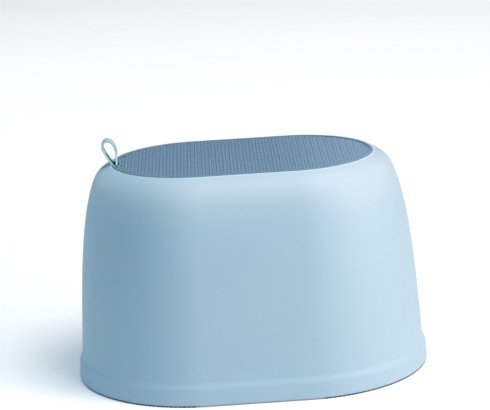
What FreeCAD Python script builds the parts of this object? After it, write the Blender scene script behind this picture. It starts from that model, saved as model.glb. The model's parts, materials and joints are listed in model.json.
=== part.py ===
import FreeCAD, Part
import math
import os
from FreeCAD import Vector

# Oval shower stool: hollow moulded shell, soft grip mat, hanging strap and four foot pads.
#
# Millimetres. Origin at the centre of the floor outline, +Z up, +X along the seat, -Y is the front.
# Every ring-shaped section is described in (r, z): r is the distance from the line that joins the
# centres of the two round ends, so one section serves the round ends and the straight sides.

# ---- driving dimensions -------------------------------------------------------------------
HALF_STRAIGHT = 45.0      # half the length of the straight sides
FOOT_RADIUS = 120.0       # outline radius at the foot band, so 330 x 240 overall
SEAT_HEIGHT = 203.0       # top of the mat's raised border
LIP_HEIGHT = 202.5        # crest of the shell's lip, a little below the mat's border
PAD_PROUD = 1.5           # foot pads stand this far below the shell
WALL = 2.8                # shell wall
DECK_THICKNESS = 3.0
DECK_TOP = 199.2          # floor of the recess that holds the mat

# foot band: a flared hollow rim that is open at the bottom
BAND_TOP = 14.5           # where the flared band starts to turn in
BAND_DRAFT = 0.7          # the band is this much smaller at its top
STEP_TOP = 23.5           # where the step meets the wall
STEP_RADIUS = 116.4       # outline radius there
STEP_HANDLES = ((119.1, 19.0), (116.6, 18.8))
CHANNEL_INNER = 116.1     # channel between the rim's two walls
CHANNEL_WIDTH = 1.8
CHANNEL_TOP = 12.5
RIM_INNER = 114.1         # inner face of the rim at the floor

# wall and shoulder
WALL_HANDLES = ((112.8, 76.0), (110.5, 140.0))
SHOULDER = (97.6, 179.0)  # outline radius and height where the wall turns into the shoulder
SHOULDER_HANDLES = ((94.6, 188.2), (92.1, 197.2))
LIP_RADIUS = 77.5         # outer edge of the rounded lip
LIP_OUTER_DROP = 0.1      # the lip's outer edge is this far below its crest
LIP_INNER_DROP = 0.9
LIP_CROWN = 0.25          # rise of the lip curve's handle above the crest
RECESS_RADIUS = 76.5
UNDER_SHOULDER_RISE = (-2.9, 9.2)   # first handle of the shoulder's inner side
UNDER_SHOULDER_R = (91.3, 83.3)     # its last two poles, at the deck, before the wall is taken off

# under-deck ribs
RIB_THICKNESS = 2.0
RIB_BOTTOM = 180.0
LONG_RIBS_Y = (-26.0, 26.0)
CROSS_RIBS_X = (-84.0, -28.0, 28.0, 84.0)
RIB_SINK = 0.8            # ribs reach this far into the wall and deck

# seat mat
MAT_GAP = 0.5             # between the mat and the recess wall
MAT_RADIUS = RECESS_RADIUS - MAT_GAP
MAT_FIELD_TOP = 202.2
MAT_BORDER = 2.0          # width of the raised border
MAT_NOTCH_X = -114.4      # inner end of the notch that the strap comes up through
MAT_NOTCH_WIDTH = 13.8
MAT_NOTCH_ROUND = 1.2     # corners at the inner end of the notch
MAT_MOUTH_ROUND = 2.6     # corners where the notch meets the oval
MAT_BLANK_HEIGHT = 1.0    # of the flat plate that the mat's outline is cut from
PLUG_HOLE_R = 2.6
PLUG_R = 2.5
PLUG_HEAD_R = 3.6
PLUG_TIP_R = 2.1
PLUG_HEAD_LENGTH = 4.0
PLUG_CLEAR = 0.1
PLUG_SINK = 0.5           # the stud's neck reaches this far into the mat
PLUG_SITES = (
    [(x, y) for x in (-50.0, 0.0, 50.0) for y in (-54.0, 54.0)]
    + [(x, y) for x in (-96.0, 96.0) for y in (-36.0, 36.0)]
    + [(x, 0.0) for x in (-104.0, -56.0, 0.0, 56.0, 104.0)]
)

# hanging strap
STRAP_X = -117.4          # centre of the slot and of the bend
STRAP_BEND_Z = 204.0      # height of the bend, which is the swing axis
STRAP_WIDTH = 12.0
STRAP_THICKNESS = 2.0
EYE_CENTRE = (-122.5, 218.5)
EYE_RADIUS = 7.2          # outer radius of the strap's round eye
CROTCH_RADIUS = 0.3       # where the two strands part
CROTCH_RISE = 0.8         # centre of that round above the swing axis
TAIL_GAP = 0.3            # between the swinging loop and the fixed tail
SLOT_X = 4.6
SLOT_Y = 13.2
TOGGLE_R = 2.0
TOGGLE_LENGTH = 24.0
TOGGLE_Z = 191.2
TOGGLE_CHAMFER = 0.5
TOGGLE_CLEAR = 0.1
SADDLE_X = 8.0
SADDLE_WIDTH = 3.0
SADDLE_INNER_Y = 7.4
SADDLE_BOTTOM = 188.8
SADDLE_MOUTH = 3.6

# foot pads
PAD_START = 8.0           # degrees from the stool's long axis
PAD_END = 84.0
PAD_INNER_R = 114.7
PAD_OUTER_R = 119.4
PAD_EDGE = 0.4            # chamfer on the tread and on the tips of the teeth
PAD_TOOTH_GAP = 0.1       # between a tooth and the channel's wall
PAD_TOOTH_TOP = 10.5
PAD_TOOTH_TAPER = 1.5     # height of the chamfer on a tooth's tip
PAD_TEETH = 6
PAD_TOOTH_SHARE = 0.72    # share of each tooth pitch that is tooth
STOP_THICKNESS = 1.6      # webs across the channel at both ends of each pad
STOP_GAP_DEG = 0.25
STOP_SINK = 0.5           # the webs reach this far into the rim's walls

OVERRUN = 1.0             # how far a cut runs past the solid that it cuts
TINY = 0.01               # tolerance for picking edges by their place
UP = Vector(0, 0, 1)


# ---- helpers ------------------------------------------------------------------------------
def at(r, z):
    return Vector(r, 0, z)


def line(a, b):
    return Part.makeLine(a, b)


def bezier(*poles):
    curve = Part.BezierCurve()
    curve.setPoles(list(poles))
    return curve.toShape()


def outline(*edges):
    """A face from edges given in order round the section."""
    return Part.Face(Part.Wire(list(edges)))


def polygon(*points):
    closed = list(points) + [points[0]]
    return outline(*[line(a, b) for a, b in zip(closed, closed[1:])])


def round_the_stool(section):
    """Carries a section in the XZ plane round the straight-sided oval."""
    solids = []
    for side in (1, -1):
        end = section.copy()
        end.rotate(Vector(0, 0, 0), UP, -90 if side > 0 else 90)
        end.translate(Vector(side * HALF_STRAIGHT, 0, 0))
        solids.append(end.revolve(Vector(side * HALF_STRAIGHT, 0, 0), UP, 180))
        flank = section.copy()
        flank.rotate(Vector(0, 0, 0), UP, side * 90)
        flank.translate(Vector(-HALF_STRAIGHT, 0, 0))
        solids.append(flank.extrude(Vector(2 * HALF_STRAIGHT, 0, 0)))
    return solids[0].multiFuse(solids[1:]).removeSplitter()


def along_arc(section, side_x, side_y, start, end):
    """Carries a section along part of one round end, between angles measured from the long axis."""
    swept = section.copy()
    swept.rotate(Vector(0, 0, 0), UP, start)
    swept = swept.revolve(Vector(0, 0, 0), UP, end - start)
    swept.translate(Vector(HALF_STRAIGHT, 0, 0))
    if side_x < 0:
        swept = swept.mirror(Vector(0, 0, 0), Vector(1, 0, 0))
    if side_y < 0:
        swept = swept.mirror(Vector(0, 0, 0), Vector(0, 1, 0))
    return swept


def box(x0, x1, y0, y1, z0, z1):
    return Part.makeBox(x1 - x0, y1 - y0, z1 - z0, Vector(x0, y0, z0))


def rod_y(x, z, radius, y0, y1):
    return Part.makeCylinder(radius, y1 - y0, Vector(x, y0, z), Vector(0, 1, 0))


def oval_plate(radius, z0, z1):
    return round_the_stool(polygon(at(0, z0), at(radius, z0), at(radius, z1), at(0, z1)))


def save(shape, node):
    """Writes one node, after checking that it is made of closed solids."""
    assert shape.Solids and all(s.isValid() and s.Volume > 0 for s in shape.Solids), node
    solid = shape.Solids[0] if len(shape.Solids) == 1 else shape
    solid.exportStep(f"parts/{node}.step")
    print(f"{node}: {len(shape.Solids)} solid(s), {shape.Volume / 1000:.2f} cm3")


# ---- shell --------------------------------------------------------------------------------
def wall_poles():
    """Bezier poles of the outer wall, from the step up to the shoulder."""
    return [at(STEP_RADIUS, STEP_TOP), *[at(*h) for h in WALL_HANDLES], at(*SHOULDER)]


def inset(poles, distance):
    """Moves Bezier poles to their left by a distance, square to the run of the poles there."""
    moved = []
    for i, pole in enumerate(poles):
        run = poles[min(i + 1, len(poles) - 1)] - poles[max(i - 1, 0)]
        moved.append(pole + Vector(-run.z, 0, run.x).normalize() * distance)
    return moved


def under_shoulder(gap, top):
    """Inner side of the shoulder: poles from the inset wall to the underside of the deck."""
    start = inset(wall_poles(), gap)[-1]
    return [start, start + at(*UNDER_SHOULDER_RISE), *[at(r - gap, top) for r in UNDER_SHOULDER_R]]


def shell_section():
    """Section from the floor, up the outside, over the lip, along the deck and down the inside."""
    foot_outer = at(FOOT_RADIUS, PAD_PROUD)
    band_top = at(FOOT_RADIUS - BAND_DRAFT, BAND_TOP)
    outer_wall = wall_poles()
    inner_wall = inset(outer_wall, WALL)
    lip_outer = at(LIP_RADIUS, LIP_HEIGHT - LIP_OUTER_DROP)
    lip_inner = at(RECESS_RADIUS, LIP_HEIGHT - LIP_INNER_DROP)
    deck_bottom = DECK_TOP - DECK_THICKNESS
    shoulder = under_shoulder(WALL, deck_bottom)
    corners = [
        inner_wall[0], at(RIM_INNER, PAD_PROUD), at(CHANNEL_INNER, PAD_PROUD),
        at(CHANNEL_INNER, CHANNEL_TOP), at(CHANNEL_INNER + CHANNEL_WIDTH, CHANNEL_TOP),
        at(CHANNEL_INNER + CHANNEL_WIDTH, PAD_PROUD), foot_outer,
    ]
    rim = [line(a, b) for a, b in zip(corners, corners[1:])]
    return outline(
        line(foot_outer, band_top),
        bezier(band_top, *[at(*h) for h in STEP_HANDLES], outer_wall[0]),
        bezier(*outer_wall),
        bezier(outer_wall[-1], *[at(*h) for h in SHOULDER_HANDLES], lip_outer),
        bezier(lip_outer, at(RECESS_RADIUS, LIP_HEIGHT + LIP_CROWN), lip_inner),
        line(lip_inner, at(RECESS_RADIUS, DECK_TOP)),
        line(at(RECESS_RADIUS, DECK_TOP), at(0, DECK_TOP)),
        line(at(0, DECK_TOP), at(0, deck_bottom)),
        line(at(0, deck_bottom), shoulder[-1]),
        bezier(*reversed(shoulder)),
        bezier(*reversed(inner_wall)),
        *rim,
    )


def rib_grid():
    """Crossed ribs under the deck, trimmed to sink a little into the deck and the shoulder."""
    top = DECK_TOP - DECK_THICKNESS + RIB_SINK
    wall = inset(wall_poles(), WALL - RIB_SINK)
    shoulder = under_shoulder(WALL - RIB_SINK, top)
    room = round_the_stool(outline(
        line(at(0, wall[0].z), wall[0]),
        bezier(*wall),
        bezier(*shoulder),
        line(shoulder[-1], at(0, top)),
        line(at(0, top), at(0, wall[0].z)),
    ))
    half = RIB_THICKNESS / 2
    reach = HALF_STRAIGHT + FOOT_RADIUS
    ribs = [box(-reach, reach, y - half, y + half, RIB_BOTTOM, top) for y in LONG_RIBS_Y]
    ribs += [box(x - half, x + half, -reach, reach, RIB_BOTTOM, top) for x in CROSS_RIBS_X]
    return ribs[0].multiFuse(ribs[1:]).common(room)


def strap_saddles():
    """Two saddles under the deck that the strap's toggle bar snaps into."""
    blocks = []
    for side in (1, -1):
        y0, y1 = sorted((side * SADDLE_INNER_Y, side * (SADDLE_INNER_Y + SADDLE_WIDTH)))
        block = box(STRAP_X - SADDLE_X / 2, STRAP_X + SADDLE_X / 2, y0, y1,
                    SADDLE_BOTTOM, DECK_TOP - DECK_THICKNESS + RIB_SINK)
        seat = rod_y(STRAP_X, TOGGLE_Z, TOGGLE_R + TOGGLE_CLEAR, y0, y1)
        mouth = box(STRAP_X - SADDLE_MOUTH / 2, STRAP_X + SADDLE_MOUTH / 2, y0, y1,
                    SADDLE_BOTTOM, TOGGLE_Z)
        blocks.append(block.cut(seat).cut(mouth))
    return blocks


def pad_stops():
    """Webs across the rim's channel at both ends of every foot pad."""
    half = math.degrees(STOP_THICKNESS / 2 / CHANNEL_INNER)
    inner = CHANNEL_INNER - STOP_SINK
    outer = CHANNEL_INNER + CHANNEL_WIDTH + STOP_SINK
    top = CHANNEL_TOP + STOP_SINK
    section = polygon(at(inner, PAD_PROUD), at(outer, PAD_PROUD), at(outer, top), at(inner, top))
    centres = (PAD_START - half - STOP_GAP_DEG, PAD_END + half + STOP_GAP_DEG)
    return [along_arc(section, side_x, side_y, centre - half, centre + half)
            for side_x in (1, -1) for side_y in (1, -1) for centre in centres]


def body_shell():
    shell = round_the_stool(shell_section())
    shell = shell.multiFuse([rib_grid()] + strap_saddles() + pad_stops())
    cut_bottom = DECK_TOP - DECK_THICKNESS - OVERRUN
    cut_top = DECK_TOP + OVERRUN
    drills = [Part.makeCylinder(PLUG_HOLE_R, cut_top - cut_bottom, Vector(x, y, cut_bottom))
              for x, y in PLUG_SITES]
    slot = box(STRAP_X - SLOT_X / 2, STRAP_X + SLOT_X / 2, -SLOT_Y / 2, SLOT_Y / 2, cut_bottom, cut_top)
    return shell.cut(drills + [slot]).removeSplitter()


# ---- mat ----------------------------------------------------------------------------------
def plug(x, y):
    """Push-through stud on the underside of the mat."""
    neck_bottom = DECK_TOP - DECK_THICKNESS - PLUG_CLEAR
    neck = Part.makeCylinder(PLUG_R, DECK_TOP + PLUG_SINK - neck_bottom, Vector(x, y, neck_bottom))
    head = Part.makeCone(PLUG_TIP_R, PLUG_HEAD_R, PLUG_HEAD_LENGTH,
                         Vector(x, y, neck_bottom - PLUG_HEAD_LENGTH))
    return neck.fuse(head)


def mat_outline():
    """Flat face of the mat: an oval with a notch for the strap and every notch corner rounded."""
    half = MAT_NOTCH_WIDTH / 2
    blank = oval_plate(MAT_RADIUS, 0, MAT_BLANK_HEIGHT)
    tip_x = -HALF_STRAIGHT - MAT_RADIUS
    blank = blank.cut(box(tip_x - OVERRUN, MAT_NOTCH_X, -half, half, -OVERRUN, MAT_BLANK_HEIGHT + OVERRUN))

    def notch_edges(x0, x1):
        """Upright edges along the sides of the notch, between two places along the stool."""
        return [e for e in blank.Edges if e.BoundBox.ZLength > MAT_BLANK_HEIGHT / 2
                and abs(abs(e.CenterOfMass.y) - half) < TINY and x0 < e.CenterOfMass.x < x1]

    blank = blank.makeFillet(MAT_NOTCH_ROUND, notch_edges(MAT_NOTCH_X - TINY, MAT_NOTCH_X + TINY))
    blank = blank.makeFillet(MAT_MOUTH_ROUND, notch_edges(tip_x, MAT_NOTCH_X - MAT_MOUTH_ROUND))
    return next(f for f in blank.Faces if f.BoundBox.ZMax < TINY)


def raised(face, z0, z1):
    plate = face.extrude(Vector(0, 0, z1 - z0))
    plate.translate(Vector(0, 0, z0))
    return plate


def seat_mat():
    outer = mat_outline()
    inner = outer.makeOffset2D(-MAT_BORDER)
    tray = raised(outer, DECK_TOP, SEAT_HEIGHT).cut(raised(inner, MAT_FIELD_TOP, SEAT_HEIGHT + OVERRUN))
    return tray.multiFuse([plug(x, y) for x, y in PLUG_SITES]).removeSplitter()


# ---- strap --------------------------------------------------------------------------------
def teardrop(x0, z0, r0, x1, z1, r1):
    """Face bounded by a small circle, a large circle and their two common tangents."""
    dx, dz = x1 - x0, z1 - z0
    lean = math.atan2(dz, dx)
    spread = math.acos((r0 - r1) / math.hypot(dx, dz))

    def rim(x, z, r, angle):
        return at(x + r * math.cos(angle), z + r * math.sin(angle))

    a0, a1 = rim(x0, z0, r0, lean + spread), rim(x1, z1, r1, lean + spread)
    b0, b1 = rim(x0, z0, r0, lean - spread), rim(x1, z1, r1, lean - spread)
    top = Part.Arc(a1, rim(x1, z1, r1, lean), b1).toShape()
    bottom = Part.Arc(b0, rim(x0, z0, r0, lean + math.pi), a0).toShape()
    return outline(line(a0, a1), top, line(b1, b0), bottom)


def across(face, width):
    """Extrudes a face in the XZ plane to a width centred on y = 0."""
    face = face.copy()
    face.translate(Vector(0, -width / 2, 0))
    return face.extrude(Vector(0, width, 0))


def hang_loop():
    eye_x, eye_z = EYE_CENTRE
    reach = math.hypot(eye_x - STRAP_X, eye_z - STRAP_BEND_Z)
    crotch = CROTCH_RISE / reach
    outer = teardrop(STRAP_X, STRAP_BEND_Z, STRAP_THICKNESS, eye_x, eye_z, EYE_RADIUS)
    hole = teardrop(STRAP_X + (eye_x - STRAP_X) * crotch, STRAP_BEND_Z + (eye_z - STRAP_BEND_Z) * crotch,
                    CROTCH_RADIUS, eye_x, eye_z, EYE_RADIUS - STRAP_THICKNESS)
    return across(outer, STRAP_WIDTH).cut(across(hole, STRAP_WIDTH + 2 * OVERRUN))


def strap_tail():
    """The strap's two strands below the bend, folded round the toggle bar."""
    half = STRAP_WIDTH / 2
    top = STRAP_BEND_Z - STRAP_THICKNESS - TAIL_GAP
    strands = box(STRAP_X - STRAP_THICKNESS, STRAP_X + STRAP_THICKNESS, -half, half, TOGGLE_Z, top)
    hole_r = TOGGLE_R + TOGGLE_CLEAR
    fold = rod_y(STRAP_X, TOGGLE_Z, hole_r + STRAP_THICKNESS, -half, half)
    hole = rod_y(STRAP_X, TOGGLE_Z, hole_r, -half - OVERRUN, half + OVERRUN)
    return strands.fuse(fold).cut(hole).removeSplitter()


def strap_toggle():
    bar = rod_y(STRAP_X, TOGGLE_Z, TOGGLE_R, -TOGGLE_LENGTH / 2, TOGGLE_LENGTH / 2)
    ends = [e for e in bar.Edges if e.BoundBox.YLength < TINY]
    return bar.makeChamfer(TOGGLE_CHAMFER, ends)


# ---- foot pads ----------------------------------------------------------------------------
def foot_pad(side_x, side_y):
    """Curved tread with a row of teeth that press into the rim's channel."""
    tread = polygon(at(PAD_INNER_R, PAD_EDGE), at(PAD_INNER_R + PAD_EDGE, 0), at(PAD_OUTER_R - PAD_EDGE, 0),
                    at(PAD_OUTER_R, PAD_EDGE), at(PAD_OUTER_R, PAD_PROUD), at(PAD_INNER_R, PAD_PROUD))
    inner = CHANNEL_INNER + PAD_TOOTH_GAP
    outer = CHANNEL_INNER + CHANNEL_WIDTH - PAD_TOOTH_GAP
    taper_foot = PAD_TOOTH_TOP - PAD_TOOTH_TAPER
    tooth = polygon(at(inner, PAD_PROUD), at(outer, PAD_PROUD), at(outer, taper_foot),
                    at(outer - PAD_EDGE, PAD_TOOTH_TOP), at(inner + PAD_EDGE, PAD_TOOTH_TOP),
                    at(inner, taper_foot))
    pieces = [along_arc(tread, side_x, side_y, PAD_START, PAD_END)]
    pitch = (PAD_END - PAD_START) / PAD_TEETH
    for i in range(PAD_TEETH):
        middle = PAD_START + (i + 0.5) * pitch
        reach = pitch * PAD_TOOTH_SHARE / 2
        pieces.append(along_arc(tooth, side_x, side_y, middle - reach, middle + reach))
    return pieces[0].multiFuse(pieces[1:]).removeSplitter()


def main():
    os.makedirs("parts", exist_ok=True)
    save(body_shell(), "body_shell")
    save(seat_mat(), "seat_mat")
    save(hang_loop(), "hang_loop")
    save(strap_tail(), "strap_tail")
    save(strap_toggle(), "strap_toggle")
    for across_name, side_y in (("front", -1), ("rear", 1)):
        for end_name, side_x in (("left", -1), ("right", 1)):
            save(foot_pad(side_x, side_y), f"foot_pad_{across_name}_{end_name}")


main()
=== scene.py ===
import json
import math

import bmesh
import bpy
import numpy as np
from mathutils import Matrix, Vector


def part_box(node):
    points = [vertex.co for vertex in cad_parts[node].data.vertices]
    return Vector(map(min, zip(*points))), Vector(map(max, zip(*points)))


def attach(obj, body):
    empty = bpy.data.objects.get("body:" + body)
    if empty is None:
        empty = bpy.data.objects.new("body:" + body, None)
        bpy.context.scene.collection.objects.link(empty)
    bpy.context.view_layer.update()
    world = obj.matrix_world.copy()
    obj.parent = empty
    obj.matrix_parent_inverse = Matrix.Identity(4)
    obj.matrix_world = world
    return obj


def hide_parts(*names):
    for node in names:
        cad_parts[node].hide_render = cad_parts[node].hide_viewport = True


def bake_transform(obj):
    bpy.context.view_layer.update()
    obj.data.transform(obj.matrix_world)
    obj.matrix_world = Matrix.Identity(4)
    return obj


# Looks of an oval shower stool: moulded shell, ribbed grip mat, hanging strap, foot pads.
# The object's sizes are in millimetres, and MM turns them into metres. The stage, the lights and the camera
# are in metres. Sections are (r, z) pairs, where r is the distance from the line between the centres of
# the two round ends.

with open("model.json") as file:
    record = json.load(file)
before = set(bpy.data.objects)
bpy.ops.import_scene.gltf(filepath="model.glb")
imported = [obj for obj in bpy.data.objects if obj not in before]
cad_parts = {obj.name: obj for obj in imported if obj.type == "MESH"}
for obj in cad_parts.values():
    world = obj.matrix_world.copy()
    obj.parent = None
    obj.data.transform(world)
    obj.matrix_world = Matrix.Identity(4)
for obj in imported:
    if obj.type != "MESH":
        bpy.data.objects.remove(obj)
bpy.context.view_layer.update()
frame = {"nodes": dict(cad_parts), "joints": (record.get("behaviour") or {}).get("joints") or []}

MM = 0.001
MERGE = 1e-6              # points closer than this, in metres, become one

# ---- sizes read from the frame ------------------------------------------------------------
shell_low, shell_high = (Vector(corner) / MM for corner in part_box("body_shell"))
mat_high = Vector(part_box("seat_mat")[1]) / MM
loop_low, loop_high = (Vector(corner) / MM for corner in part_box("hang_loop"))
toggle_low, toggle_high = (Vector(corner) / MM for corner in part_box("strap_toggle"))
hinge = frame["joints"][0]
HINGE_X = hinge["pos_m"][0] / MM

FOOT_R = shell_high.y                       # outline radius at the foot band
HALF_STRAIGHT = shell_high.x - FOOT_R       # half the length of the straight sides
SHELL_BOTTOM = shell_low.z
LIP_TOP = shell_high.z
SEAT_TOP = mat_high.z
MAT_R = mat_high.y
MAT_GAP = 0.5               # between the mat's edge and the wall of its recess
RECESS_R = MAT_R + MAT_GAP

# ---- shell section ------------------------------------------------------------------------
WALL = 2.8
SLOT_INNER, SLOT_OUTER = 2.3, -3.6        # the slot's ends along the seat, from the hinge
SLOT_Y = 13.2
SLOT_SPARE = 0.8                          # the cut runs this far past each face of the deck
DECK_TOP = SEAT_TOP - 3.8
DECK_THICKNESS = 3.0
DECK_BOTTOM = DECK_TOP - DECK_THICKNESS
STEP_R, STEP_TOP = FOOT_R - 3.6, 23.5     # where the wall meets the step above the foot band
SHOULDER = (97.6, 179.0)
SHOULDER_ENDS = (94.6, 188.2), (92.1, 196.6)      # handles of the curve from the wall to the lip
SHOULDER_SIDES = (95.4, 185.0), (89.6, 196.2)
LIP_R = RECESS_R + 1.0                    # crest of the lip round the mat
BEAD_R = LIP_R + 1.5                      # outer foot of the lip
RIM_INNER = FOOT_R - 5.9
CHANNEL_INNER = FOOT_R - 3.9              # the channel in the rim that the foot pads' teeth go into
CHANNEL_OUTER = FOOT_R - 2.1
CHANNEL_TOP = 12.5
RIM_ROUND = 0.7

ARC_STEPS = 56            # samples round each round end
SIDE_STEPS = 14           # samples along each straight side


# ---- small geometry helpers ---------------------------------------------------------------
def bezier(poles, count):
    """Points on a Bezier curve of any degree, without its last point."""
    poles = np.array(poles, float)
    degree = len(poles) - 1
    t = np.linspace(0, 1, count, endpoint=False)[:, None]
    curve = sum(math.comb(degree, k) * (1 - t) ** (degree - k) * t ** k * poles[k] for k in range(degree + 1))
    return [tuple(p) for p in curve]


def arc(cx, cz, radius, start, end, count):
    """Points on a circle between two angles in degrees, both ends included."""
    angles = np.radians(np.linspace(start, end, count))
    return [(cx + radius * math.cos(a), cz + radius * math.sin(a)) for a in angles]


def inset(poles, distance):
    """Moves Bezier poles to their left, square to the run of the poles there."""
    moved = []
    for i, pole in enumerate(poles):
        before, after = poles[max(i - 1, 0)], poles[min(i + 1, len(poles) - 1)]
        run = Vector(after) - Vector(before)
        moved.append(tuple(Vector(pole) + Vector((-run.y, run.x)).normalized() * distance))
    return moved


def oval_track():
    """Stations round the stool: the centre that r is measured from, and the outward direction."""
    track = []
    for side in (1, -1):
        for i in range(ARC_STEPS):
            a = math.radians(-90 + 180 * i / ARC_STEPS) + (0 if side > 0 else math.pi)
            track.append((side * HALF_STRAIGHT, math.cos(a), math.sin(a)))
        for i in range(SIDE_STEPS):
            track.append((side * HALF_STRAIGHT * (1 - 2 * i / SIDE_STEPS), 0.0, float(side)))
    return track


def add_grid(bm, rows, closed_columns=False):
    """Joins closed rows of points, given in millimetres, into quads. Every row has the same length."""
    verts = [[bm.verts.new(Vector(p) * MM) for p in row] for row in rows]
    row_pairs = list(zip(verts, verts[1:])) + ([(verts[-1], verts[0])] if closed_columns else [])
    for low, high in row_pairs:
        count = len(low)
        for j in range(count):
            k = (j + 1) % count
            bm.faces.new((low[j], low[k], high[k], high[j]))
    return verts


def finish_mesh(name, bm, sharp_degrees=35):
    """Turns a bmesh into an object with tidy normals, shaded smooth up to an angle."""
    bmesh.ops.remove_doubles(bm, verts=bm.verts, dist=MERGE)
    bmesh.ops.dissolve_degenerate(bm, edges=bm.edges, dist=MERGE / 10)
    bmesh.ops.recalc_face_normals(bm, faces=bm.faces)
    mesh = bpy.data.meshes.new(name)
    bm.to_mesh(mesh)
    bm.free()
    mesh.shade_smooth()
    mesh.set_sharp_from_angle(angle=math.radians(sharp_degrees))
    obj = bpy.data.objects.new(name, mesh)
    bpy.context.scene.collection.objects.link(obj)
    return obj


# ---- shell --------------------------------------------------------------------------------
def wall_poles():
    return [(STEP_R, STEP_TOP), (112.8, 76.0), (110.5, 140.0), SHOULDER]


def under_side():
    """Inner side of the shell from the foot of the wall to the flat of the deck."""
    wall = inset(wall_poles(), WALL)
    start = wall[-1]
    shoulder = [start, (start[0] - 2.9, start[1] + 9.2), (88.5, DECK_BOTTOM), (80.5, DECK_BOTTOM)]
    return bezier(wall, 40) + bezier(shoulder, 22) + [shoulder[-1]]


def shell_section(flank):
    """Closed section of the shell, from the rim, up the outside, over the deck and down the inside.

    flank is 0 at the round ends and 1 along the sides, where the shoulder is a little rounder."""
    rim = SHELL_BOTTOM
    shoulder = [tuple(Vector(end).lerp(Vector(side), flank))
                for end, side in zip(SHOULDER_ENDS, SHOULDER_SIDES)]
    points = arc(FOOT_R - RIM_ROUND, rim + RIM_ROUND, RIM_ROUND, -90, 0, 6)
    points += [(FOOT_R - 0.3, 8.0)]
    points += bezier([(FOOT_R - 0.7, 14.5), (119.1, 19.0), (116.6, 18.8), (STEP_R, STEP_TOP)], 14)
    points += bezier(wall_poles(), 56)
    lip_foot = (BEAD_R, LIP_TOP - 0.95)
    lip_crest = (LIP_R, LIP_TOP - 0.02)
    lip_wall = (RECESS_R, LIP_TOP - 0.9)
    points += bezier([SHOULDER, *shoulder, lip_foot], 36)
    points += bezier([lip_foot, (BEAD_R - 0.55, LIP_TOP - 0.7), (BEAD_R - 0.75, LIP_TOP - 0.1), lip_crest], 8)
    points += bezier([lip_crest, (RECESS_R, LIP_TOP + 0.05), lip_wall], 8)
    points += [lip_wall, (RECESS_R, DECK_TOP + 0.5)]
    points += [(RECESS_R - 0.15, DECK_TOP + 0.15), (RECESS_R - 0.5, DECK_TOP)]
    points += [(r, DECK_TOP) for r in (60, 40, 20, 0)]
    points += [(r, DECK_BOTTOM) for r in (0, 20, 40, 60)]
    points += reversed(under_side())
    points += [(RIM_INNER, rim + RIM_ROUND), (RIM_INNER + 0.2, rim + 0.2), (RIM_INNER + RIM_ROUND, rim)]
    points += [(CHANNEL_INNER - 0.3, rim), (CHANNEL_INNER, rim + 0.3), (CHANNEL_INNER, CHANNEL_TOP)]
    points += [(CHANNEL_OUTER, CHANNEL_TOP), (CHANNEL_OUTER, rim + 0.3), (CHANNEL_OUTER + 0.3, rim)]
    return points


def on_track(station, r, z):
    """The point of a section at a station round the stool."""
    cx, ux, uy = station
    return (cx + r * ux, r * uy, z)


def oval_reach(x, y):
    """r of a point: its distance from the line between the end centres."""
    return math.hypot(max(0.0, abs(x) - HALF_STRAIGHT), y)


# ---- ribs and saddles under the deck ------------------------------------------------------
RIB_BOTTOM = 180.0
RIB_SINK = 0.9            # the ribs run this far up into the deck and the wall
RIB_OVERRUN = 0.6         # and this far into the wall at their ends
RIB_FLARE = 0.8           # the ribs start to widen this far below the deck
RIB_SAMPLES = 61
LONG_RIBS_Y = (-26.0, 26.0)
CROSS_RIBS_X = (-84.0, -28.0, 28.0, 84.0)
SADDLE_START, SADDLE_LENGTH = 7.4, 3.0    # along the bar, either side of the strap


def add_rib(bm, fixed, along_x, under_r, under_z):
    """One tapered rib under the deck, ending where the shoulder comes down to its lower edge."""
    wall_r = float(np.interp(-RIB_BOTTOM, -under_z, under_r))
    across = max(0.0, abs(fixed) - HALF_STRAIGHT) if not along_x else abs(fixed)
    reach = math.sqrt(wall_r ** 2 - across ** 2) + (HALF_STRAIGHT if along_x else 0)
    rows = []
    for s in np.linspace(-reach - RIB_OVERRUN, reach + RIB_OVERRUN, RIB_SAMPLES):
        x, y = (s, fixed) if along_x else (fixed, s)
        top = float(np.interp(oval_reach(x, y), under_r[::-1], under_z[::-1])) + RIB_SINK
        tall = max(top - RIB_BOTTOM, RIB_SINK)
        flare = min(RIB_FLARE, (tall - 0.5) / 2)
        half = [(-0.45, 0.0), (-0.75, 0.3), (-1.0, tall - RIB_SINK - flare), (-1.5, tall)]
        ring = half + [(-w, h) for w, h in reversed(half)]
        rows.append([(x, y + w, RIB_BOTTOM + h) if along_x else (x + w, y, RIB_BOTTOM + h) for w, h in ring])
    verts = add_grid(bm, rows)
    bm.faces.new(verts[0])
    bm.faces.new(reversed(verts[-1]))


def add_saddles(bm):
    """The two saddles that hold the strap's bar under the deck."""
    x = (toggle_low.x + toggle_high.x) / 2
    z = (toggle_low.z + toggle_high.z) / 2
    top, bottom = DECK_BOTTOM + 0.5, z - 2.4
    mouth, seat_r, half = 1.8, 2.1, 4.0
    lip = math.degrees(math.acos(mouth / seat_r))
    seat = arc(x, z, seat_r, -lip, 180 + lip, 22)
    points = [(x + mouth, bottom)] + seat + [(x - mouth, bottom)]
    points += [(x - half + 0.6, bottom), (x - half, bottom + 0.6), (x - half - 0.4, top)]
    points += [(x + half + 0.4, top), (x + half, bottom + 0.6), (x + half - 0.6, bottom)]
    for y0 in (SADDLE_START, -SADDLE_START - SADDLE_LENGTH):
        rings = [[(px, y, pz) for px, pz in points] for y in (y0, y0 + SADDLE_LENGTH)]
        verts = add_grid(bm, rings)
        bm.faces.new(reversed(verts[0]))
        bm.faces.new(verts[-1])


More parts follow.
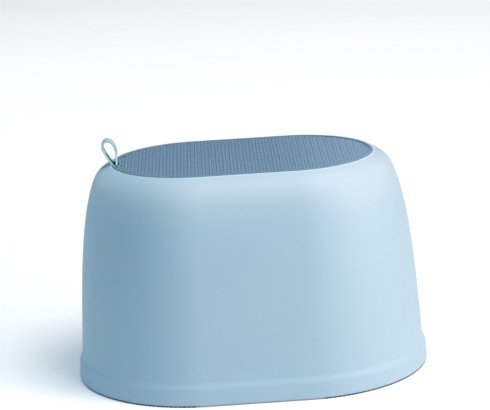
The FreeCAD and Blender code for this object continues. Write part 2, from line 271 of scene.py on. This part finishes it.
def cut_slot(bm):
    """Cuts the strap's slot through the deck."""
    tool_bm = bmesh.new()
    middle = Vector((HINGE_X + (SLOT_INNER + SLOT_OUTER) / 2, 0, (DECK_TOP + DECK_BOTTOM) / 2)) * MM
    size = Vector((SLOT_INNER - SLOT_OUTER, SLOT_Y, DECK_THICKNESS + 2 * SLOT_SPARE)) * MM
    bmesh.ops.create_cube(tool_bm, size=1.0, matrix=Matrix.LocRotScale(middle, None, size))
    bmesh.ops.recalc_face_normals(bm, faces=bm.faces)
    drafts = []
    for name, part in (("moulding_draft", bm), ("slot_tool", tool_bm)):
        mesh = bpy.data.meshes.new(name)
        part.to_mesh(mesh)
        draft = bpy.data.objects.new(name, mesh)
        bpy.context.scene.collection.objects.link(draft)
        drafts.append(draft)
    body, tool = drafts
    cut = body.modifiers.new("slot", "BOOLEAN")
    cut.operation = "DIFFERENCE"
    cut.solver = "EXACT"
    cut.object = tool
    result = bpy.data.meshes.new_from_object(body.evaluated_get(bpy.context.evaluated_depsgraph_get()))
    bm.clear()
    bm.from_mesh(result)
    for mesh in [result] + [draft.data for draft in drafts]:
        bpy.data.meshes.remove(mesh)
    tool_bm.free()


def make_shell():
    bm = bmesh.new()
    track = oval_track()
    sections = [shell_section(uy * uy) for cx, ux, uy in track]
    rings = [[on_track(station, *point) for station, point in zip(track, ring)] for ring in zip(*sections)]
    add_grid(bm, rings, closed_columns=True)
    bmesh.ops.remove_doubles(bm, verts=bm.verts, dist=MERGE)
    cut_slot(bm)
    under = np.array(under_side())
    for y in LONG_RIBS_Y:
        add_rib(bm, y, True, under[:, 0], under[:, 1])
    for x in CROSS_RIBS_X:
        add_rib(bm, x, False, under[:, 0], under[:, 1])
    add_saddles(bm)
    return finish_mesh("shell_moulding", bm, 40)


# ---- grip mat -----------------------------------------------------------------------------
NOTCH_X = -114.4          # inner end of the notch that the strap comes up through
NOTCH_HALF = 6.9
NOTCH_ROUND = 1.2
MOUTH_ROUND = 2.6
MAT_BOTTOM = DECK_TOP
FIELD_TOP = SEAT_TOP - 0.8                # crests of the ribs
FIELD_BASE = FIELD_TOP - 0.45             # floor of the relief
BORDER = 2.0              # width of the smooth raised border
FIELD_R = MAT_R - BORDER - 0.35
RIB_PITCH = 6.5
RIB_START = 2.6           # the middle rib is this far off the seat's centre
RIB_SKEW = 0.0167         # the ribs run this much askew for each unit across the seat
ROW_PITCH = 7.8
RIB_HALF = 1.05           # half the width of a long rib
PAD_HALF = 1.95           # half the width of the small blocks between two ribs
PAD_LENGTH = 5.7
PAD_DROP = 0.12           # the blocks are this much lower than the ribs
SHORTEST = 1.4            # shortest piece of a rib or block that is kept
RELIEF_EDGE = 0.42        # width of the rounded edge of ribs and blocks
RELIEF_ROUND = ((0.0, 0.0), (0.15, 0.5), (0.5, 0.87), (1.0, 1.0))     # shares of that width and of the height
NOTCH_MARGIN = BORDER + 0.4               # the relief keeps this far from the notch
SIDE_STUDS = [(x, y) for x in (-50.0, 0.0, 50.0) for y in (-54.0, 54.0)]
END_STUDS = [(x, y) for x in (-96.0, 96.0) for y in (-36.0, 36.0)]
MIDDLE_STUDS = [(x, 0.0) for x in (-104.0, -56.0, 0.0, 56.0, 104.0)]


def mat_path(d):
    """The mat's outline, moved inwards by d: the oval with its notch, always with the same points."""
    mouth_y = NOTCH_HALF + MOUTH_ROUND
    mouth_x = -HALF_STRAIGHT - math.sqrt((MAT_R - MOUTH_ROUND) ** 2 - mouth_y ** 2)
    turn = math.degrees(math.asin(mouth_y / (MAT_R - MOUTH_ROUND)))
    end_x = NOTCH_X - NOTCH_ROUND
    end_y = NOTCH_HALF - NOTCH_ROUND
    path = arc(HALF_STRAIGHT, 0, MAT_R - d, -90, 90, 97)
    path += arc(-HALF_STRAIGHT, 0, MAT_R - d, 90, 180 - turn, 49)
    path += arc(mouth_x, mouth_y, MOUTH_ROUND - d, 180 - turn, 270, 9)
    path += arc(end_x, end_y, NOTCH_ROUND + d, 90, 0, 7)
    path += arc(end_x, -end_y, NOTCH_ROUND + d, 0, -90, 7)
    path += arc(mouth_x, -mouth_y, MOUTH_ROUND - d, 90, 180 + turn, 9)
    path += arc(-HALF_STRAIGHT, 0, MAT_R - d, 180 + turn, 270, 49)
    return path


def add_stud(bm, x, y):
    """Push-through stud under the mat."""
    bottom = DECK_BOTTOM - 0.1
    section = [(2.5, MAT_BOTTOM + 0.3), (2.5, bottom), (3.3, bottom), (3.6, bottom - 0.3)]
    section += [(3.5, bottom - 0.7), (2.4, bottom - 3.6), (2.1, bottom - 3.9), (1.6, bottom - 4.0)]
    turns = np.linspace(0, 2 * math.pi, 24, endpoint=False)
    rows = [[(x + r * math.cos(a), y + r * math.sin(a), z) for a in turns] for r, z in section]
    verts = add_grid(bm, rows)
    bm.faces.new(verts[0])
    bm.faces.new(reversed(verts[-1]))


def add_pillow(bm, x, half, y0, y1, height):
    """Low rounded block on the mat's field, along the skewed ribs: shrinking rings and a cap."""
    rings = []
    for shrink, rise in RELIEF_ROUND:
        edge, z = shrink * RELIEF_EDGE, FIELD_BASE + rise * height
        wide, near, far = half - edge, y0 + edge, y1 - edge
        corners = ((-wide, near), (wide, near), (wide, far), (-wide, far))
        rings.append([(x + across + RIB_SKEW * y, y, z) for across, y in corners])
    verts = add_grid(bm, rings)
    bm.faces.new(verts[-1])


def field_end(x, half, side):
    """How far a strip along the ribs can run to that side before it leaves the mat's field."""
    step = side * 0.2
    y = 0.0
    while max(oval_reach(x + RIB_SKEW * y + half, y), oval_reach(x + RIB_SKEW * y - half, y)) < FIELD_R:
        y += step
    return y - step


def add_relief(bm):
    """Long ribs across the seat with rows of low blocks between them."""
    height = FIELD_TOP - FIELD_BASE
    columns = int((HALF_STRAIGHT + FIELD_R) / RIB_PITCH) + 1
    rows = int(FIELD_R / ROW_PITCH) + 1
    notch_clear = NOTCH_X + NOTCH_MARGIN
    notch_half = NOTCH_HALF + NOTCH_MARGIN

    def add_strip(x, half, low, high, rise):
        """A block from low to high, kept inside the field and clear of the notch."""
        if oval_reach(abs(x) + half, 0) > FIELD_R:
            return
        low, high = max(low, field_end(x, half, -1)), min(high, field_end(x, half, 1))
        parts = [(x, half, low, high)]
        if x - half < notch_clear and low < notch_half and high > -notch_half:
            narrow = (x + half - notch_clear) / 2
            parts = [(x, half, low, -notch_half), (x, half, notch_half, high)]
            if narrow > SHORTEST / 2:
                parts.append((notch_clear + narrow, narrow, max(low, -notch_half), min(high, notch_half)))
        for middle, reach, y0, y1 in parts:
            if y1 - y0 > SHORTEST:
                add_pillow(bm, middle, reach, y0, y1, rise)

    for i in range(-columns, columns + 1):
        x = RIB_START + i * RIB_PITCH
        add_strip(x, RIB_HALF, -MAT_R, MAT_R, height)
        for j in range(-rows, rows + 1):
            y = j * ROW_PITCH
            add_strip(x + RIB_PITCH / 2, PAD_HALF, y - PAD_LENGTH / 2, y + PAD_LENGTH / 2, height - PAD_DROP)


def make_mat():
    bm = bmesh.new()
    border = [(0.0, MAT_BOTTOM), (0.0, SEAT_TOP - 0.75), (0.12, SEAT_TOP - 0.35), (0.4, SEAT_TOP - 0.09),
              (0.75, SEAT_TOP), (1.25, SEAT_TOP), (1.6, SEAT_TOP - 0.09), (1.88, SEAT_TOP - 0.35),
              (BORDER, SEAT_TOP - 0.75), (BORDER, FIELD_BASE)]
    verts = add_grid(bm, [[(x, y, z) for x, y in mat_path(d)] for d, z in border])
    bm.faces.new(verts[0])
    bm.faces.new(verts[-1])
    for x, y in SIDE_STUDS + END_STUDS + MIDDLE_STUDS:
        add_stud(bm, x, y)
    add_relief(bm)
    return finish_mesh("grip_mat", bm, 50)


# ---- strap --------------------------------------------------------------------------------
STRAP_HALF = 0.97         # half the band's thickness
INNER_STRAND, OUTER_STRAND = 1.02, -2.35      # the strands' centre lines in the slot, from the hinge
FOLD_R = 3.1              # centre line round the bar
FOLD_OPEN = 42.0          # degrees either side of straight up where the fold opens into the strands
FOLD_HANDLE = 1.4         # handle of the curve that leaves the fold
NECK_HANDLE = 1.6         # and of the curve that enters the slot
NECK_BOTTOM = 196.8
STRAIGHT_TOP = 200.4      # the outer strand runs straight up to here
CROWN_X = -124.4          # the loop's highest point
CROWN_PROUD = 0.4         # the crown stands this far above the CAD solid
WIDEST_Z = 220.5          # height at which the loop reaches furthest out
UPRIGHT_TOP = 213.5       # the inner strand runs straight up to here
LEAN_END = (-122.5, 205.9)
LINING_AND_SHADE_TOP = 214.0        # the band's inner face takes the darker lining colour up to here: partly the band's own darker inside, partly painted shade
EDGE_SPLIT = -0.35        # on the leaning strand the darker colour wraps round the band's edges to here, as painted shade
STRAP_EDGE = 0.62         # radius of the band's rounded edges
FACE_MARGIN = 0.06        # what is this near a face's height belongs to that face
SKIN, LINING_AND_SHADE, EDGE = 0, 1, 2              # the strap's material slots


def strap_line():
    """Closed centre line of the band in (x, z): round the bar, up the slot, round the eye and back."""
    bar = (HINGE_X, (toggle_low.z + toggle_high.z) / 2)
    inner, outer = loop_high.x - STRAP_HALF, loop_low.x + STRAP_HALF
    inner_foot, outer_foot = HINGE_X + INNER_STRAND, HINGE_X + OUTER_STRAND
    crown = loop_high.z - STRAP_HALF + CROWN_PROUD

    def out_of_fold(side, foot_x):
        """From the fold round the bar up to the foot of the strand on that side."""
        a = math.radians(90 - side * FOLD_OPEN)
        leave = Vector(bar) + Vector((math.cos(a), math.sin(a))) * FOLD_R
        rise = Vector((-math.sin(a), math.cos(a))) * side * FOLD_HANDLE
        return bezier([leave, leave + rise, (foot_x, NECK_BOTTOM - NECK_HANDLE), (foot_x, NECK_BOTTOM)], 8)

    line = out_of_fold(1, inner_foot)
    line += bezier([(inner_foot, NECK_BOTTOM), (inner_foot, 200.5), (inner - 1.0, 203.0), (inner, 208.5),
                    (inner, UPRIGHT_TOP)], 30)
    line += bezier([(inner, UPRIGHT_TOP), (inner, 219.6), (-119.9, crown), (CROWN_X, crown)], 26)
    line += bezier([(CROWN_X, crown), (-126.5, crown), (outer, 222.7), (outer, WIDEST_Z)], 14)
    line += bezier([(outer, WIDEST_Z), (outer, 216.0), (-125.3, 210.7), LEAN_END], 26)
    line += bezier([LEAN_END, (-121.3, 204.2), (outer_foot, 202.6), (outer_foot, STRAIGHT_TOP)], 14)
    line += [(outer_foot, z) for z in np.linspace(STRAIGHT_TOP, NECK_BOTTOM, 4, endpoint=False)]
    line += [(outer_foot, NECK_BOTTOM)] + out_of_fold(-1, outer_foot)[:0:-1]
    return line + arc(*bar, FOLD_R, 90 + FOLD_OPEN, 450 - FOLD_OPEN, 26)[:-1]


def make_strap():
    """A soft flat band swept along its centre line, with rounded edges and a darker inner face low down,
    partly its own colour and partly painted shade.
    """
    line = [Vector(p) for p in strap_line()]
    half_width = (loop_high.y - loop_low.y) / 2
    corner = arc(-half_width + STRAP_EDGE, STRAP_HALF - STRAP_EDGE, STRAP_EDGE, 180, 90, 5)
    flat = [(y, STRAP_HALF) for y in (-half_width * 0.5, 0.0, half_width * 0.5)]
    outer_side = corner + flat + [(-y, n) for y, n in reversed(corner)]
    ring = outer_side + [(half_width, EDGE_SPLIT)] + [(y, -n) for y, n in reversed(outer_side)]
    ring += [(-half_width, EDGE_SPLIT)]
    rows = []
    for i, point in enumerate(line):
        run = (line[(i + 1) % len(line)] - line[i - 1]).normalized()
        normal = Vector((run.y, -run.x))
        rows.append([(point.x + normal.x * n, y, point.y + normal.y * n) for y, n in ring])
    bm = bmesh.new()
    verts = add_grid(bm, rows, closed_columns=True)
    outer_face = {v for row in verts for v, (y, n) in zip(row, ring) if n > STRAP_HALF - FACE_MARGIN}
    inner_face = {v for row in verts for v, (y, n) in zip(row, ring) if n < -STRAP_HALF + FACE_MARGIN}
    inner_half = {v for row in verts for v, (y, n) in zip(row, ring) if n <= EDGE_SPLIT}
    # the darker colour low down is partly the band's own inside and partly painted shade; on the leaning
    # strand it also covers the inner half of the edges, as painted shade
    for face in bm.faces:
        low_down = max(v.co.z for v in face.verts) < LINING_AND_SHADE_TOP * MM
        lean_side = max(v.co.x for v in face.verts) < HINGE_X * MM
        darker_faces = inner_half if lean_side else inner_face
        if low_down and darker_faces.issuperset(face.verts):
            face.material_index = LINING_AND_SHADE
        elif outer_face.issuperset(face.verts) or inner_face.issuperset(face.verts):
            face.material_index = SKIN
        else:
            face.material_index = EDGE
    return finish_mesh("strap", bm, 60)


# ---- foot pads ----------------------------------------------------------------------------
PAD_START, PAD_END = 8.0, 84.0            # degrees round the end, from the seat's long axis
PAD_INNER, PAD_OUTER = FOOT_R - 5.3, FOOT_R - 0.6
PAD_GROOVES = 38
PAD_GROOVE_DEPTH = 0.45
# One groove of the tread and the land before it, as (share of the pitch, share of the depth) pairs.
PAD_GROOVE = ((0.04, 0.12), (0.1, 0.0), (0.62, 0.0), (0.7, 0.1), (0.76, 1.0), (0.96, 1.0))
PAD_TEETH = 6
TOOTH_TOP = 10.5
TOOTH_SINK = 0.2          # the teeth start this far down inside the tread
TOOTH_REACH = 0.36        # half a tooth's length, as a share of the teeth's pitch


def make_pad(node, side_x, side_y):
    """Curved tread with cross grooves under it and a row of teeth above."""
    bm = bmesh.new()

    def place(degrees, r, z):
        a = math.radians(degrees)
        return (side_x * (HALF_STRAIGHT + r * math.cos(a)), side_y * r * math.sin(a), z)

    pitch = (PAD_END - PAD_START) / PAD_GROOVES
    rows = []
    for g in range(PAD_GROOVES):
        start = PAD_START + g * pitch
        for share, depth in PAD_GROOVE:
            z = depth * PAD_GROOVE_DEPTH
            section = [(PAD_INNER, SHELL_BOTTOM), (PAD_INNER, z + 0.4), (PAD_INNER + 0.12, z + 0.12)]
            section += [(PAD_INNER + 0.4, z), (PAD_OUTER - 0.4, z), (PAD_OUTER - 0.12, z + 0.12)]
            section += [(PAD_OUTER, z + 0.4), (PAD_OUTER, SHELL_BOTTOM)]
            rows.append([place(start + share * pitch, r, h) for r, h in section])
    verts = add_grid(bm, rows)
    bm.faces.new(verts[0])
    bm.faces.new(reversed(verts[-1]))
    inner, outer = CHANNEL_INNER + 0.1, CHANNEL_OUTER - 0.1
    tooth_pitch = (PAD_END - PAD_START) / PAD_TEETH
    for t in range(PAD_TEETH):
        middle = PAD_START + (t + 0.5) * tooth_pitch
        reach = tooth_pitch * TOOTH_REACH
        section = [(inner, SHELL_BOTTOM - TOOTH_SINK), (inner, TOOTH_TOP - 1.5), (inner + 0.4, TOOTH_TOP)]
        section += [(outer - 0.4, TOOTH_TOP), (outer, TOOTH_TOP - 1.5), (outer, SHELL_BOTTOM - TOOTH_SINK)]
        teeth = add_grid(bm, [[place(d, r, z) for r, z in section]
                              for d in np.linspace(middle - reach, middle + reach, 7)])
        bm.faces.new(teeth[0])
        bm.faces.new(reversed(teeth[-1]))
    pad = finish_mesh(node + "_tread", bm, 40)
    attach(pad, "stool")
    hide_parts(node)
    return pad


# ---- materials ----------------------------------------------------------------------------
def srgb(*levels):
    """Linear colour from display levels above 10, out of 255."""
    return tuple(((v / 255 + 0.055) / 1.055) ** 2.4 for v in levels) + (1.0,)


class Nodes:
    """A material's node tree with short calls for the nodes used here."""

    def __init__(self, name, **sockets):
        self.material = bpy.data.materials.new(name)
        self.material.use_nodes = True
        self.tree = self.material.node_tree
        self.shader = self.tree.nodes["Principled BSDF"]
        for socket, value in sockets.items():
            self.shader.inputs[socket.replace("_", " ")].default_value = value
        self.place = self.node("ShaderNodeTexCoord").outputs["Object"]

    def node(self, kind, links=(), **settings):
        made = self.tree.nodes.new(kind)
        for key, value in settings.items():
            setattr(made, key, value)
        for socket, source in dict(links).items():
            if isinstance(source, bpy.types.NodeSocket):
                self.tree.links.new(source, made.inputs[socket])
            else:
                made.inputs[socket].default_value = source
        return made

    def noise(self, scale, detail=3.0, roughness=0.5, stretch=(1, 1, 1)):
        mapping = self.node("ShaderNodeMapping", {"Vector": self.place, "Scale": stretch})
        links = {"Vector": mapping.outputs[0], "Scale": scale, "Detail": detail, "Roughness": roughness}
        made = self.node("ShaderNodeTexNoise", links)
        return made.outputs["Fac"]

    def remap(self, source, low, high, new_low=0.0, new_high=1.0):
        """Maps the range from low to high onto the new range, and clamps it there."""
        links = {"Value": source, "From Min": low, "From Max": high, "To Min": new_low, "To Max": new_high}
        return self.node("ShaderNodeMapRange", links).outputs[0]

    def height(self):
        """Height above the floor, in metres."""
        return self.node("ShaderNodeSeparateXYZ", {"Vector": self.place}).outputs["Z"]

    def along(self):
        """Position along the seat, in metres."""
        return self.node("ShaderNodeSeparateXYZ", {"Vector": self.place}).outputs["X"]

    def blend(self, factor, first, second):
        """Mixes two colours; each argument is a socket or a value."""
        made = self.node("ShaderNodeMix", data_type="RGBA")
        for index, value in ((0, factor), (6, first), (7, second)):
            if isinstance(value, bpy.types.NodeSocket):
                self.tree.links.new(value, made.inputs[index])
            else:
                made.inputs[index].default_value = value
        return made.outputs[2]

    def math(self, operation, first, second):
        made = self.node("ShaderNodeMath", {0: first, 1: second}, operation=operation)
        return made.outputs[0]

    def bump(self, *layers):
        """Stacks (height, strength, distance) layers into the shader's normal."""
        normal = None
        for height, strength, distance in layers:
            links = {"Height": height, "Strength": strength, "Distance": distance}
            if normal is not None:
                links["Normal"] = normal
            normal = self.node("ShaderNodeBump", links).outputs[0]
        self.tree.links.new(normal, self.shader.inputs["Normal"])

    def set(self, socket, source):
        self.tree.links.new(source, self.shader.inputs[socket])


def shell_material():
    """Fine satin polypropylene with a faint mottle, a moulded grain and light scuffs near the floor, plus a
    painted highlight along the shoulder and on the lip's crest.
    """
    foot_low, foot_high = 0.002, 0.030
    shoulder_low, shoulder_high = 0.160, 0.192
    m = Nodes("shell_plastic", Specular_IOR_Level=0.5)
    mottle = m.remap(m.noise(9.0, 3.0, 0.5), 0.3, 0.7)
    base = m.blend(mottle, srgb(150, 186, 206), srgb(153, 189, 208))
    cloud = m.remap(m.noise(42.0, 4.0, 0.6), 0.35, 0.75)
    base = m.blend(m.math("MULTIPLY", cloud, 0.3), base, srgb(155, 191, 210))
    low = m.remap(m.height(), foot_high, foot_low)
    scuff = m.remap(m.noise(95.0, 5.0, 0.65, (1, 1, 0.35)), 0.60, 0.74)
    base = m.blend(m.math("MULTIPLY", m.math("MULTIPLY", scuff, low), 0.25), base, srgb(180, 205, 219))
    # painted highlight: the shoulder is lightened towards the lip, standing in for the gloss from the high
    # lamp
    shoulder = m.remap(m.height(), shoulder_low, shoulder_high, 0.0, 0.5)
    base = m.blend(shoulder, base, srgb(179, 198, 208))
    # painted highlight: a pale line along the crest of the lip round the mat
    lip = m.remap(m.height(), (LIP_TOP - 0.8) * MM, (LIP_TOP - 0.45) * MM)
    base = m.blend(m.math("MULTIPLY", lip, 0.55), base, srgb(192, 218, 232))
    m.set("Base Color", base)
    m.set("Roughness", m.remap(m.noise(60.0, 3.0, 0.5), 0.3, 0.7, 0.52, 0.58))
    m.bump((m.noise(1500.0, 2.0, 0.6), 0.08, 0.00012), (m.noise(14.0, 2.0, 0.4), 0.03, 0.0008))
    return m.material


def mat_material():
    """Soft moulded rubber with a fine matt grain, and painted light: shade down in the relief, down its sides
    and on the border's walls, a sheen towards the right end.
    """
    m = Nodes("mat_rubber", Roughness=0.62, Specular_IOR_Level=0.35)
    tone = m.remap(m.noise(38.0, 4.0, 0.55), 0.3, 0.7)
    base = m.blend(tone, srgb(107, 139, 163), srgb(112, 144, 168))
    # painted shade: darker towards the floor of the relief and down the mat's sides
    depth = m.remap(m.height(), FIELD_BASE * MM, (FIELD_TOP - 0.15) * MM)
    base = m.blend(depth, srgb(72, 103, 130), base)
    crest = m.remap(m.height(), (FIELD_TOP - PAD_DROP) * MM, (FIELD_TOP - 0.02) * MM)
    base = m.blend(crest, base, srgb(110, 142, 166))
    # painted shade on the border's walls, between the field and the top of the border
    wall = m.math("MULTIPLY", m.remap(m.height(), (FIELD_TOP + 0.02) * MM, (FIELD_TOP + 0.2) * MM),
                  m.remap(m.height(), (SEAT_TOP - 0.03) * MM, (SEAT_TOP - 0.2) * MM))
    base = m.blend(wall, base, srgb(93, 127, 154))
    # painted sheen: the mat lightens towards its right end, standing in for light glancing off it
    sheen_start, sheen_end = 0.030, 0.125
    right_end_sheen = m.remap(m.along(), sheen_start, sheen_end, 0.0, 0.55)
    base = m.blend(right_end_sheen, base, srgb(136, 165, 189))
    m.set("Base Color", base)
    m.set("Roughness", m.remap(m.noise(210.0, 3.0, 0.5), 0.3, 0.7, 0.55, 0.7))
    m.bump((m.noise(1900.0, 2.0, 0.6), 0.2, 0.0001))
    return m.material


def strap_material(name, dark, light, rough):
    """Smooth soft band: a light skin with fine lines along it and a waxy gloss."""
    m = Nodes(name, Roughness=rough, Specular_IOR_Level=0.45)
    tone = m.remap(m.noise(160.0, 3.0, 0.5), 0.3, 0.7)
    m.set("Base Color", m.blend(tone, dark, light))
    m.set("Roughness", m.remap(m.noise(420.0, 2.0, 0.5), 0.3, 0.7, rough - 0.05, rough + 0.06))
    m.bump((m.noise(700.0, 2.0, 0.5, (0.25, 1.6, 0.25)), 0.18, 0.00012))
    return m.material


def edge_material():
    """The strap's rounded edges: paler low down, a painted highlight where the edges catch the light."""
    m = Nodes("strap_edge", Roughness=0.45, Specular_IOR_Level=0.45)
    tone = m.remap(m.noise(160.0, 3.0, 0.5), 0.3, 0.7)
    high = m.blend(tone, srgb(156, 192, 204), srgb(164, 200, 211))
    low = m.blend(tone, srgb(206, 236, 245), srgb(212, 241, 249))
    # painted highlight: the edges turn pale below this height
    pale_below, dark_above = 0.2105, 0.2175
    m.set("Base Color", m.blend(m.remap(m.height(), dark_above, pale_below), high, low))
    m.bump((m.noise(700.0, 2.0, 0.5, (0.25, 1.6, 0.25)), 0.15, 0.0001))
    return m.material


def pad_material():
    """Dark blue-grey rubber, dusty on the tread."""
    m = Nodes("pad_rubber", Roughness=0.7, Specular_IOR_Level=0.3)
    tone = m.remap(m.noise(120.0, 4.0, 0.6), 0.3, 0.7)
    base = m.blend(tone, srgb(62, 82, 98), srgb(74, 95, 111))
    tread = m.remap(m.height(), 0.0008, 0.0)
    dust = m.math("MULTIPLY", m.remap(m.noise(300.0, 5.0, 0.65), 0.52, 0.72), tread)
    m.set("Base Color", m.blend(m.math("MULTIPLY", dust, 0.5), base, srgb(120, 132, 140)))
    m.bump((m.noise(1600.0, 2.0, 0.6), 0.3, 0.00012))
    return m.material


def toggle_material():
    """Pale nylon with a faint mottle."""
    m = Nodes("toggle_nylon", Roughness=0.4, Specular_IOR_Level=0.45)
    tone = m.remap(m.noise(220.0, 3.0, 0.5), 0.3, 0.7)
    m.set("Base Color", m.blend(tone, srgb(196, 204, 206), srgb(208, 215, 216)))
    m.bump((m.noise(900.0, 2.0, 0.5, (1, 0.2, 1)), 0.12, 0.0001))
    return m.material


# ---- build the pieces ---------------------------------------------------------------------
shell = make_shell()
shell.data.materials.append(shell_material())
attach(shell, "stool")
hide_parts("body_shell")

mat = make_mat()
mat.data.materials.append(mat_material())
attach(mat, "stool")
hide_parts("seat_mat")

strap = make_strap()
strap.data.materials.append(strap_material("strap_skin", srgb(150, 188, 200), srgb(160, 197, 209), 0.45))
# the lining colour: the band's darker inside, also standing in for shade low down
strap.data.materials.append(strap_material("strap_lining_and_shade", srgb(54, 152, 152), srgb(62, 162, 162), 0.5))
strap.data.materials.append(edge_material())
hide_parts("hang_loop", "strap_tail")
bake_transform(strap)

rubber = pad_material()
for side_name, side_y in (("front", -1), ("rear", 1)):
    for end_name, side_x in (("left", -1), ("right", 1)):
        pad = make_pad(f"foot_pad_{side_name}_{end_name}", side_x, side_y)
        pad.data.materials.append(rubber)

toggle = frame["nodes"]["strap_toggle"]
nylon = toggle_material()
for place in toggle.material_slots:
    place.material = nylon


# ---- stage, lights and camera -------------------------------------------------------------
STOOL_MIDDLE = Vector((0, 0, 0.12))
FLOOR_HALF = 6.0
FLOOR_GLOW = 0.16         # fills the shadows a little, as a lit white sweep does


def make_floor():
    bm = bmesh.new()
    corners = ((-1, -1), (1, -1), (1, 1), (-1, 1))
    bm.faces.new([bm.verts.new((x * FLOOR_HALF, y * FLOOR_HALF, 0.0)) for x, y in corners])
    floor = finish_mesh("floor", bm)
    m = Nodes("floor_paint", Roughness=0.7, Specular_IOR_Level=0.2, Emission_Color=(1, 1, 1, 1),
              Emission_Strength=FLOOR_GLOW)
    tone = m.remap(m.noise(0.8, 3.0, 0.5), 0.3, 0.7)
    m.set("Base Color", m.blend(tone, (0.86, 0.875, 0.88, 1), (0.89, 0.9, 0.905, 1)))
    floor.data.materials.append(m.material)


def make_light(name, azimuth, elevation, distance, size, power, colour):
    """A soft light that faces the middle of the stool. Azimuth 0 is in front of it, 90 at its right end."""
    a, e = math.radians(azimuth), math.radians(elevation)
    toward = Vector((math.sin(a) * math.cos(e), -math.cos(a) * math.cos(e), math.sin(e)))
    add_panel(name, STOOL_MIDDLE + toward * distance, -toward, size, power, colour)


def add_panel(name, place, facing, size, power, colour=(1, 1, 1)):
    """A rectangular light at a place, hidden from the camera."""
    light = bpy.data.lights.new(name, "AREA")
    light.shape = "RECTANGLE"
    light.size, light.size_y = size
    light.energy = power
    light.color = colour
    obj = bpy.data.objects.new(name, light)
    obj.location = place
    obj.rotation_mode = "QUATERNION"
    obj.rotation_quaternion = facing.to_track_quat("-Z", "Y")
    obj.visible_camera = False
    bpy.context.scene.collection.objects.link(obj)
    return light


def make_world(colour, strength):
    world = bpy.data.worlds.new("studio")
    world.use_nodes = True
    background = world.node_tree.nodes["Background"]
    background.inputs["Color"].default_value = colour
    background.inputs["Strength"].default_value = strength
    bpy.context.scene.world = world


VIEW_AZIMUTH, VIEW_ELEVATION, VIEW_ROLL = -1.93, 13.81, -3.24
VIEW_DISTANCE = 2.0177
VIEW_SHIFT = (-0.00271, 0.05195)      # sideways and upwards, square to the line of sight
LENS_MM, SENSOR_MM = 157.46, 36.0


def make_camera():
    """The camera, turned to the stool's middle and then moved square to its line of sight."""
    a, e, roll = math.radians(VIEW_AZIMUTH), math.radians(VIEW_ELEVATION), math.radians(VIEW_ROLL)
    back = Vector((math.sin(a) * math.cos(e), -math.cos(a) * math.cos(e), math.sin(e)))
    right = (-back).cross(Vector((0, 0, 1))).normalized()
    up = right.cross(-back)
    right, up = right * math.cos(roll) + up * math.sin(roll), up * math.cos(roll) - right * math.sin(roll)
    camera = bpy.data.cameras.new("camera")
    camera.lens, camera.sensor_width = LENS_MM, SENSOR_MM
    camera.clip_start, camera.clip_end = 0.05, 50.0
    obj = bpy.data.objects.new("camera", camera)
    middle = Vector((0, 0, SEAT_TOP * MM / 2))
    place = middle + back * VIEW_DISTANCE + right * VIEW_SHIFT[0] + up * VIEW_SHIFT[1]
    turn = Matrix((right, up, back)).transposed().to_4x4()
    obj.matrix_world = Matrix.Translation(place) @ turn
    bpy.context.scene.collection.objects.link(obj)
    bpy.context.scene.camera = obj


make_floor()
make_world((0.72, 0.93, 1.0, 1), 0.1)
make_light("high", 45, 66, 1.8, (0.9, 0.9), 29.0, (1.0, 0.905, 0.87))
make_light("key", 62, 16, 1.9, (1.2, 0.7), 26.0, (1.0, 0.66, 0.55))
make_light("front", 25, 35, 1.9, (1.0, 1.0), 2.2, (0.15, 0.8, 1.0))
make_light("left", -70, 40, 1.9, (1.2, 1.2), 3.4, (0.1, 0.62, 1.0))
make_light("left_high", -50, 68, 1.8, (0.9, 0.9), 2.5, (0.1, 0.64, 1.0))
make_light("rim", -120, 18, 1.8, (1.2, 0.7), 5.4, (0.78, 0.93, 1.0))
backdrop = add_panel("backdrop", Vector((0, 2.0, 2.0)), Vector((0, 0, -1)), (4.0, 2.6), 22.0)
backdrop.spread = math.radians(90)
bpy.context.scene.view_settings.view_transform = "Standard"
make_camera()
